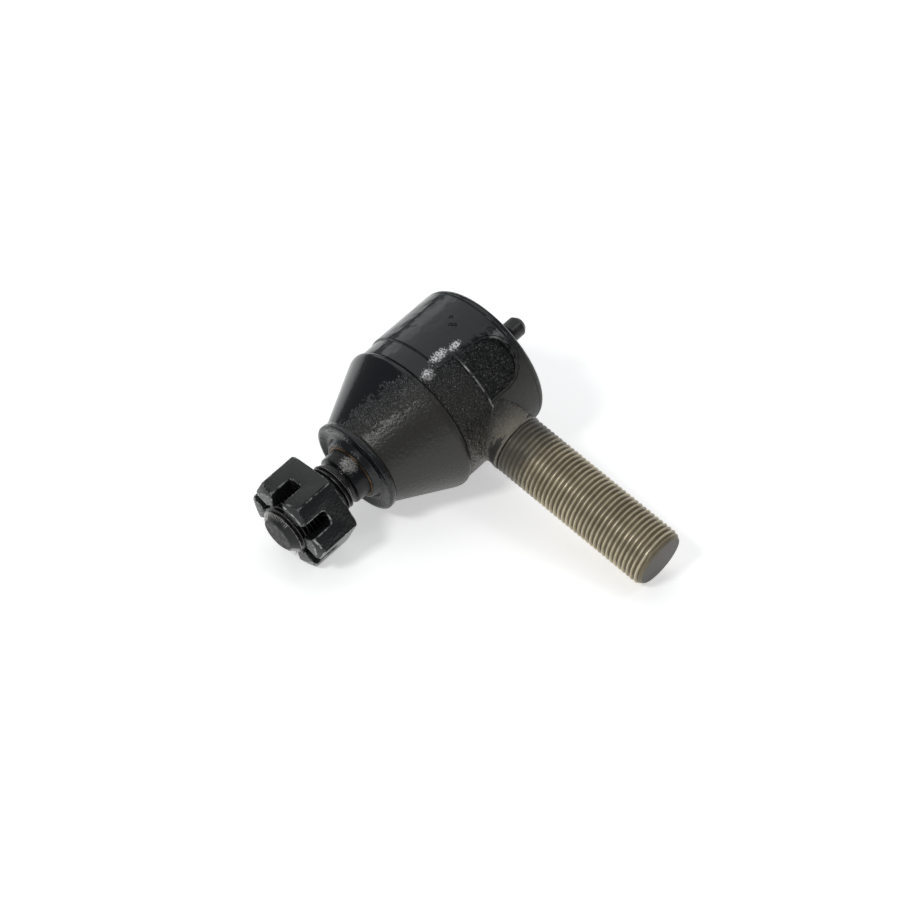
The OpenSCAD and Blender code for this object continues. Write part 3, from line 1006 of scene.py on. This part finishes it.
def slot_cutter(angle):
    """A bar with rounded lower corners that mills two opposite slots of the nut."""
    bottom = NUT_FRONT_Z + SLOT_DEPTH
    height = SLOT_DEPTH + 3
    bar = primitive("cube", size=1, location=(0, 0, bottom - height / 2), scale=(44, SLOT_W, height))
    edit(bar, "DESELECT")
    bpy.ops.object.mode_set(mode="OBJECT")
    for edge in bar.data.edges:
        ends = [bar.data.vertices[v].co for v in edge.vertices]
        edge.select = all(abs(e.z - bottom) < 0.01 for e in ends) and abs(ends[0].y - ends[1].y) < 0.01
    bpy.ops.object.mode_set(mode="EDIT")
    bpy.ops.mesh.bevel(offset=SLOT_CORNER_R, segments=5, affect="EDGES")
    bpy.ops.object.mode_set(mode="OBJECT")
    bar.rotation_euler.z = radians(angle)
    return face_outward(settle(bar))


def finish_nut_chamfers(nut):
    """Turned chamfers carry a thinner finish than the forged sides."""
    for face in nut.data.polygons:
        outside = hypot(face.center.x, face.center.y) > NUT_AF / 2 - 0.7
        if face.material_index == 0 and outside and 0.75 < abs(face.normal.z) < 0.97:
            face.material_index = 1


def make_castle_nut():
    corner_r = NUT_AF / sqrt(3)
    back_z = NUT_FRONT_Z + NUT_H
    slope = tan(radians(28))
    face_r = NUT_AF / 2 - 0.9
    nut = primitive("cylinder", vertices=6, radius=corner_r, depth=NUT_H,
                    location=(0, 0, NUT_FRONT_Z + NUT_H / 2), rotation=(0, 0, radians(NUT_TURN - 90)))
    nut.name = "castle_nut_forging"
    combine(nut, turn("nut chamfers", [
        (0, NUT_FRONT_Z), (face_r, NUT_FRONT_Z),
        (corner_r + 1, NUT_FRONT_Z + (corner_r + 1 - face_r) * slope),
        (corner_r + 1, back_z - 1.2), (corner_r - 0.9, back_z), (0, back_z)], 108), "INTERSECT")
    bore_r = STUD_R + 0.08
    bore = [(0, NUT_FRONT_Z - 1), (STUD_R + 1.6, NUT_FRONT_Z - 1), (bore_r, NUT_FRONT_Z + 1.1),
            (bore_r, back_z - 0.8), (STUD_R + 1.4, back_z + 0.5), (0, back_z + 0.5)]
    combine(nut, turn("nut bore", bore, 96), "DIFFERENCE")
    for k in range(3):
        combine(nut, slot_cutter(NUT_TURN + 30 + 60 * k), "DIFFERENCE")
    # The rounded edges get rubbed wear with painted glints.
    soften_edges(nut, 0.4, 25, 3, [NUT_OXIDE, NUT_CHAMFER, RUBBED_AND_GLINTING_EDGE])
    finish_nut_chamfers(nut)
    lay_down(nut, 38)
    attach(nut, "nut")
    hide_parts("castle_nut")


# ---------------------------------------------------------------------------------------------
# Dust boot and its lip ring
# ---------------------------------------------------------------------------------------------
def make_dust_boot():
    boot = turn("dust_boot_moulding", [
        (20.26, BOOT_TOP_Z), (23.6, BOOT_TOP_Z, 0.3), (24.75, BOOT_TOP_Z - 0.25, 0.5),
        (BOOT_R, BOOT_TOP_Z - 1.3, 0.7), (24.75, -17.9, 0.8), (14.95, BOOT_LIP_Z + 0.15, 0.8),
        (BOOT_LIP_R, -38.4, 0.25), (BOOT_LIP_R, -39.75, 0.3),
        (14.6, -40.1, 0.3), (12.4, -38.9, 0.8), (11.0, -39.2, 0.6), (9.75, -41.3, 0.25),
        (9.25, -41.3), (9.25, -37.4), (12.1, -37.4, 0.8), (20.2, -20.5, 0.8), (21.0, -19.75),
        (21.0, -18.3), (20.26, -18.3), (20.26, BOOT_TOP_Z)], 176, longest=0.9)
    finish_in(boot, BOOT_RUBBER)
    lay_down(boot, 40)
    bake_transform(boot)
    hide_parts("dust_boot")


def make_lip_ring():
    ring = turn("boot_lip_ring_pressing", [
        (8.45, -41.6), (8.9, -41.6, 0.15), (9.12, -41.3, 0.1), (9.15, -38.6), (8.62, -38.6),
        (8.45, -41.6)], 144)
    finish_in(ring, RING_BRASS)
    lay_down(ring)
    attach(ring, "boot_lip")
    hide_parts("boot_lip_ring")


def make_check_spring():
    """Closed coil of fine wire behind the check ball."""
    ball_r, coil_r, wire_r, length = 1.25, 1.25, 0.17, 2.75
    low = FITTING_TIP - 1 - 2 * ball_r - length
    angles = [2 * pi * k / 10 for k in range(11)]
    loop = [Vector((coil_r + wire_r * cos(angle), low + wire_r * sin(angle))) for angle in angles]
    coil = draw("fitting_spring_coil", loop)
    screw = coil.modifiers.new("coil", "SCREW")
    screw.screw_offset = 0.5
    screw.iterations = 5
    screw.steps = screw.render_steps = 32
    close_ends(coil)
    face_outward(coil)
    finish_in(coil, SPRING_STEEL)
    lay_down(coil, 50)
    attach(coil, "housing")
    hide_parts("fitting_spring")


def finish_inner_pieces():
    """The CAD shapes of the inner pieces stay and get their finishes."""
    inner = {"front_bearing": ACETAL, "pressure_seat": ACETAL, "preload_spring": SPRING_STEEL,
             "fitting_ball": BALL_STEEL, "boot_base_ring": SPRING_STEEL}
    for node, material in inner.items():
        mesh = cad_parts[node].data
        mesh.materials.clear()
        mesh.materials.append(material)


# ---------------------------------------------------------------------------------------------
# Studio
# ---------------------------------------------------------------------------------------------
CAMERA_TURN = 41.98
CAMERA_RISE = 40.98
CAMERA_ROLL = 0.218
CAMERA_DISTANCE = 0.71329
AIM = Vector((0.00898, -0.00881, -0.01446))
FLOOR_Z = -0.02819


def make_camera():
    data = bpy.data.cameras.new("studio_camera")
    data.sensor_width = 36
    data.lens = 94.05
    data.clip_start = 0.01
    camera = bpy.data.objects.new("studio_camera", data)
    bpy.context.scene.collection.objects.link(camera)
    turn_rad, rise_rad = radians(CAMERA_TURN), radians(CAMERA_RISE)
    back = Vector((sin(turn_rad) * cos(rise_rad), -cos(turn_rad) * cos(rise_rad), sin(rise_rad)))
    camera.rotation_mode = "QUATERNION"
    camera.rotation_quaternion = ((-back).to_track_quat("-Z", "Y")
                                  @ Quaternion((0, 0, 1), radians(CAMERA_ROLL)))
    camera.location = AIM + back * CAMERA_DISTANCE
    bpy.context.scene.camera = camera


def softbox(name, azimuth, elevation, distance, size, watts):
    """A square soft light that faces the object from that direction."""
    data = bpy.data.lights.new(name, "AREA")
    data.shape = "RECTANGLE"
    data.size, data.size_y = size
    data.energy = watts
    light = bpy.data.objects.new(name, data)
    bpy.context.scene.collection.objects.link(light)
    a, e = radians(azimuth), radians(elevation)
    back = Vector((sin(a) * cos(e), -cos(a) * cos(e), sin(e)))
    light.location = back * distance
    light.rotation_euler = (-back).to_track_quat("-Z", "Y").to_euler()
    light.visible_camera = False


def make_studio():
    bpy.ops.object.select_all(action="DESELECT")
    bpy.ops.mesh.primitive_plane_add(size=14, location=(0, 0, FLOOR_Z))
    floor = bpy.context.object
    floor.name = "studio_floor"
    paper = bpy.data.materials.new("studio_paper")
    paper.use_nodes = True
    shader = paper.node_tree.nodes["Principled BSDF"]
    shader.inputs["Base Color"].default_value = (0.9, 0.9, 0.9, 1)
    shader.inputs["Roughness"].default_value = 0.9
    shader.inputs["Specular IOR Level"].default_value = 0.1
    shader.inputs["Emission Color"].default_value = (1, 1, 1, 1)
    shader.inputs["Emission Strength"].default_value = 0.48
    floor.data.materials.append(paper)
    world = bpy.data.worlds.new("studio_room")
    world.use_nodes = True
    world.node_tree.nodes["Background"].inputs["Color"].default_value = (0.93, 0.97, 1, 1)
    world.node_tree.nodes["Background"].inputs["Strength"].default_value = 0.25
    bpy.context.scene.world = world
    softbox("overhead_box", 225, 62, 1.2, (1.4, 1.2), 4.2)
    softbox("left_box", 250, 24, 0.9, (0.35, 0.3), 0.35)
    softbox("front_box", 4, 47, 0.8, (0.14, 0.12), 2.0)
    softbox("right_box", 120, 58, 0.8, (0.20, 0.20), 0.45)
    bpy.context.scene.view_settings.view_transform = "Standard"


make_camera()
make_housing()
make_cover_plate()
make_grease_fitting()
make_ball_stud()
make_castle_nut()
make_dust_boot()
make_lip_ring()
make_check_spring()
finish_inner_pieces()
make_studio()
